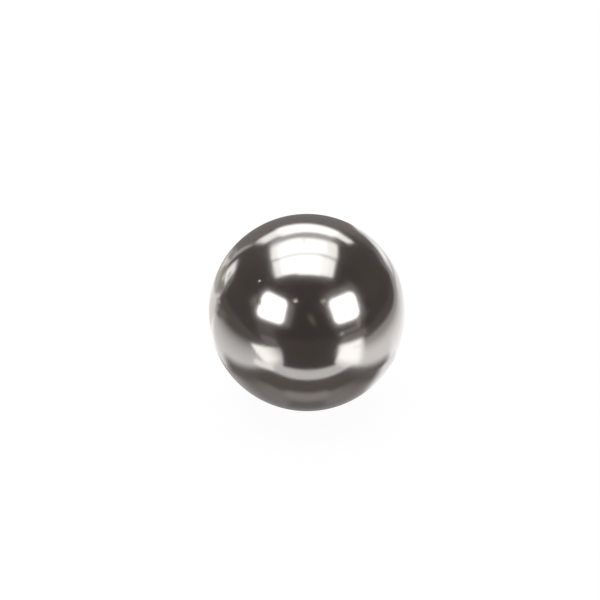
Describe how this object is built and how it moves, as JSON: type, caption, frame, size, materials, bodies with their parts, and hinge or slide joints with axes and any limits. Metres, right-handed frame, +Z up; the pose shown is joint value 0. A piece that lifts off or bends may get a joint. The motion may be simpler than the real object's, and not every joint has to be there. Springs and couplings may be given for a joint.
{
  "type": "steel ball",
  "caption": "Plain polished steel ball, a solid true sphere with no hole, flat or mark.",
  "frame": {"origin": "centre of the ball", "axes": "+Z up, away from what the ball is set on; the ball is the same in every direction, so X and Y are free"},
  "size_m": [0.0126, 0.0126, 0.0126],
  "materials": {
    "polished_steel": "polished"
  },
  "bodies": {
    "root": {"ball": "polished_steel"}
  },
  "joints": []
}
